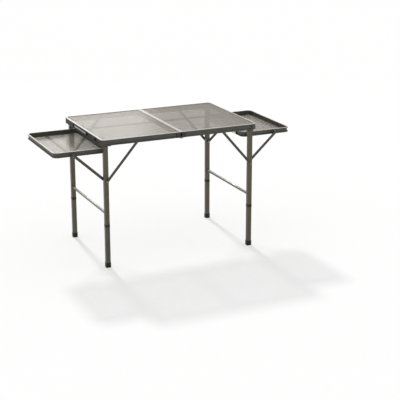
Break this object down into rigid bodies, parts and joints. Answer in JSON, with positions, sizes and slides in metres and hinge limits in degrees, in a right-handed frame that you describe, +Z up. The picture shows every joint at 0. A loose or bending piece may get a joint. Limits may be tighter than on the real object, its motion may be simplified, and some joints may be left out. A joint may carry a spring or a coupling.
{
  "type": "folding garden table",
  "caption": "Folding outdoor table with a hinged mesh top in channel frames, fold-in legs with plug-in lower legs, crossbars, hook-on struts and hang-on mesh side trays.",
  "frame": {"origin": "on the floor, under the middle of the table top", "axes": "+X along the table through both trays, +Y to the rear, +Z up"},
  "size_m": [1.38, 0.603, 0.705],
  "materials": {
    "frame_paint": "dark grey-green satin powder coat",
    "leg_anodised": "olive-brown anodised square tube",
    "strut_steel": "dark olive coated flat bar",
    "mesh_steel": "grey-brown coated expanded metal",
    "bright_steel": "plain bright steel",
    "black_plastic": "moulded black plastic, fine grain"
  },
  "bodies": {
    "left_half": {"left_table_frame": "frame_paint", "left_mesh_panel": "mesh_steel", "left_centre_rib": "frame_paint", "left_axle": "bright_steel", "left_front_axle_bracket": "black_plastic", "front_hinge_left_leaf": "black_plastic", "left_rear_axle_bracket": "black_plastic", "rear_hinge_left_leaf": "black_plastic", "front_hinge_pin": "bright_steel", "front_handle_clip": "black_plastic", "rear_hinge_pin": "bright_steel", "rear_handle_clip": "black_plastic"},
    "right_half": {"right_table_frame": "frame_paint", "right_mesh_panel": "mesh_steel", "right_centre_rib": "frame_paint", "right_axle": "bright_steel", "right_front_axle_bracket": "black_plastic", "front_hinge_right_leaf": "black_plastic", "right_rear_axle_bracket": "black_plastic", "rear_hinge_right_leaf": "black_plastic"},
    "handle": {"handle_grip": "strut_steel"},
    "front_latch_lever": {"front_latch_lever": "black_plastic"},
    "rear_latch_lever": {"rear_latch_lever": "black_plastic"},
    "left_leg_frame": {"left_crossbar": "leg_anodised", "left_front_upper_leg": "leg_anodised", "left_front_leg_stud": "bright_steel", "left_rear_upper_leg": "leg_anodised", "left_rear_leg_stud": "bright_steel"},
    "left_front_lower_leg": {"left_front_lower_leg": "leg_anodised", "left_front_collar": "black_plastic", "left_front_foot": "black_plastic"},
    "left_front_table_strut": {"left_front_table_strut": "strut_steel"},
    "left_front_tray_strut": {"left_front_tray_strut": "strut_steel"},
    "left_rear_lower_leg": {"left_rear_lower_leg": "leg_anodised", "left_rear_collar": "black_plastic", "left_rear_foot": "black_plastic"},
    "left_rear_table_strut": {"left_rear_table_strut": "strut_steel"},
    "left_rear_tray_strut": {"left_rear_tray_strut": "strut_steel"},
    "left_tray": {"left_tray_frame": "frame_paint", "left_tray_mesh": "mesh_steel", "left_tray_hanger": "bright_steel"},
    "right_leg_frame": {"right_crossbar": "leg_anodised", "right_front_upper_leg": "leg_anodised", "right_front_leg_stud": "bright_steel", "right_rear_upper_leg": "leg_anodised", "right_rear_leg_stud": "bright_steel"},
    "right_front_lower_leg": {"right_front_lower_leg": "leg_anodised", "right_front_collar": "black_plastic", "right_front_foot": "black_plastic"},
    "right_front_table_strut": {"right_front_table_strut": "strut_steel"},
    "right_front_tray_strut": {"right_front_tray_strut": "strut_steel"},
    "right_rear_lower_leg": {"right_rear_lower_leg": "leg_anodised", "right_rear_collar": "black_plastic", "right_rear_foot": "black_plastic"},
    "right_rear_table_strut": {"right_rear_table_strut": "strut_steel"},
    "right_rear_tray_strut": {"right_rear_tray_strut": "strut_steel"},
    "right_tray": {"right_tray_frame": "frame_paint", "right_tray_mesh": "mesh_steel", "right_tray_hanger": "bright_steel"}
  },
  "joints": [
    {"name": "centre_fold", "type": "hinge", "parent": "left_half", "child": "right_half", "pos_m": [0, 0, 0.671], "axis": [0, 1, 0], "range_deg": [0, 55]},
    {"name": "handle_pull", "type": "slide", "parent": "left_half", "child": "handle", "axis": [-1, 0, 0], "range_m": [0, 0.022]},
    {"name": "front_latch_swing", "type": "hinge", "parent": "left_half", "child": "front_latch_lever", "pos_m": [-0.4466, -0.14, 0.6814], "axis": [0, -1, 0], "range_deg": [0, 80]},
    {"name": "rear_latch_swing", "type": "hinge", "parent": "left_half", "child": "rear_latch_lever", "pos_m": [-0.4466, 0.21, 0.6814], "axis": [0, -1, 0], "range_deg": [0, 80]},
    {"name": "left_leg_fold", "type": "hinge", "parent": "left_half", "child": "left_leg_frame", "pos_m": [-0.428, 0, 0.678], "axis": [0, 1, 0], "range_deg": [-86, 0]},
    {"name": "left_tray_tilt", "type": "hinge", "parent": "left_half", "child": "left_tray", "pos_m": [-0.428, 0, 0.678], "axis": [0, 1, 0], "range_deg": [0, 60]},
    {"name": "left_front_strut_fold", "type": "hinge", "parent": "left_half", "child": "left_front_table_strut", "pos_m": [-0.241, -0.291, 0.685], "axis": [0, 1, 0], "range_deg": [-125.7, 0]},
    {"name": "left_front_leg_pull", "type": "slide", "parent": "left_leg_frame", "child": "left_front_lower_leg", "axis": [0, 0, -1], "range_m": [0, 0.088]},
    {"name": "left_front_tray_strut_fold", "type": "hinge", "parent": "left_tray", "child": "left_front_tray_strut", "pos_m": [-0.59, -0.2572, 0.632], "axis": [0, -1, 0], "range_deg": [0, 42]},
    {"name": "left_rear_strut_fold", "type": "hinge", "parent": "left_half", "child": "left_rear_table_strut", "pos_m": [-0.241, 0.291, 0.685], "axis": [0, 1, 0], "range_deg": [-125.7, 0]},
    {"name": "left_rear_leg_pull", "type": "slide", "parent": "left_leg_frame", "child": "left_rear_lower_leg", "axis": [0, 0, -1], "range_m": [0, 0.088]},
    {"name": "left_rear_tray_strut_fold", "type": "hinge", "parent": "left_tray", "child": "left_rear_tray_strut", "pos_m": [-0.59, 0.2572, 0.632], "axis": [0, -1, 0], "range_deg": [0, 42]},
    {"name": "right_leg_fold", "type": "hinge", "parent": "right_half", "child": "right_leg_frame", "pos_m": [0.428, 0, 0.678], "axis": [0, -1, 0], "range_deg": [-66, 0]},
    {"name": "right_tray_tilt", "type": "hinge", "parent": "right_half", "child": "right_tray", "pos_m": [0.428, 0, 0.678], "axis": [0, -1, 0], "range_deg": [0, 60]},
    {"name": "right_front_strut_fold", "type": "hinge", "parent": "right_half", "child": "right_front_table_strut", "pos_m": [0.241, -0.291, 0.685], "axis": [0, -1, 0], "range_deg": [-96.49, 0]},
    {"name": "right_front_leg_pull", "type": "slide", "parent": "right_leg_frame", "child": "right_front_lower_leg", "axis": [0, 0, -1], "range_m": [0, 0.088]},
    {"name": "right_front_tray_strut_fold", "type": "hinge", "parent": "right_tray", "child": "right_front_tray_strut", "pos_m": [0.59, -0.2572, 0.632], "axis": [0, 1, 0], "range_deg": [0, 42]},
    {"name": "right_rear_strut_fold", "type": "hinge", "parent": "right_half", "child": "right_rear_table_strut", "pos_m": [0.241, 0.291, 0.685], "axis": [0, -1, 0], "range_deg": [-96.49, 0]},
    {"name": "right_rear_leg_pull", "type": "slide", "parent": "right_leg_frame", "child": "right_rear_lower_leg", "axis": [0, 0, -1], "range_m": [0, 0.088]},
    {"name": "right_rear_tray_strut_fold", "type": "hinge", "parent": "right_tray", "child": "right_rear_tray_strut", "pos_m": [0.59, 0.2572, 0.632], "axis": [0, 1, 0], "range_deg": [0, 42]}
  ],
  "couplings": [
    {"joint": "left_front_strut_fold", "follows": "left_leg_fold", "ratio": 1.4605},
    {"joint": "left_rear_strut_fold", "follows": "left_leg_fold", "ratio": 1.4605},
    {"joint": "right_front_strut_fold", "follows": "right_leg_fold", "ratio": 1.4605},
    {"joint": "right_rear_strut_fold", "follows": "right_leg_fold", "ratio": 1.4605}
  ]
}
